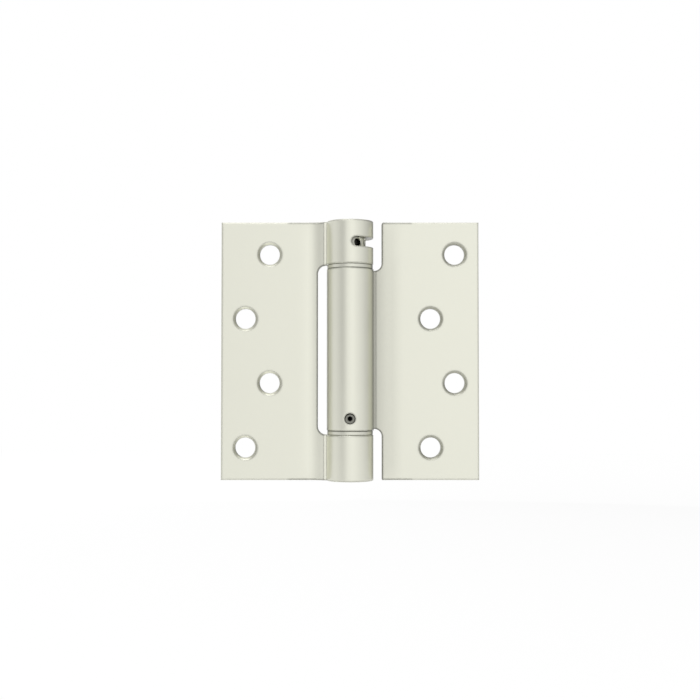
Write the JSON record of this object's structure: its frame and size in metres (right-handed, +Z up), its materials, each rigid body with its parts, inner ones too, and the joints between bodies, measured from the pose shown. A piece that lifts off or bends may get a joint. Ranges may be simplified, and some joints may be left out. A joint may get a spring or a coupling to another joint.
{
  "type": "spring hinge",
  "caption": "Full mortise spring butt hinge with two countersunk leaves, a rolled barrel that holds a torsion spring, and a slotted top knuckle over a tension collar.",
  "frame": {"origin": "on the pin's centre line at mid height, which is the centre of the bounding box", "axes": "+Z up along the pin, towards the slotted knuckle; -Y the way the countersunk faces look; -X towards the frame leaf's outer edge and +X towards the door leaf's outer edge"},
  "size_m": [0.1016, 0.0182, 0.1016],
  "materials": {
    "satin_plate": "satin nickel-like plating, pale and warm",
    "ring_plate": "turned and plated",
    "collar_steel": "turned, hardened and plated",
    "black_screw": "black oxide",
    "pin_steel": "ground, bright",
    "spring_steel": "oil tempered wire",
    "bush_bronze": "sintered bronze, oiled",
    "washer_acetal": "plain moulded"
  },
  "bodies": {
    "frame_side": {"frame_leaf": "satin_plate", "top_cap": "satin_plate", "bottom_cap": "satin_plate"},
    "door_side": {"door_leaf": "satin_plate", "upper_bushing": "bush_bronze", "lower_bushing": "bush_bronze", "upper_bearing_ring": "ring_plate", "lower_bearing_ring": "ring_plate", "spring_anchor": "pin_steel", "anchor_set_screw": "black_screw", "torsion_spring": "spring_steel"},
    "tension_drive": {"tension_collar": "collar_steel", "collar_cross_pin": "spring_steel", "pivot_pin": "pin_steel", "collar_washer": "washer_acetal", "driver_washer": "washer_acetal", "spring_driver": "pin_steel"}
  },
  "joints": [
    {"name": "leaf_swing", "type": "hinge", "parent": "frame_side", "child": "door_side", "pos_m": [0, 0, 0], "axis": [0, 0, -1], "range_deg": [0, 180], "stiffness_Nm_per_rad": 0.5, "deforming": ["torsion_spring"]},
    {"name": "tension_turn", "type": "hinge", "parent": "frame_side", "child": "tension_drive", "pos_m": [0, 0, 0], "axis": [0, 0, -1], "range_deg": [0, 270], "stiffness_Nm_per_rad": 0.5, "deforming": ["torsion_spring"]}
  ]
}
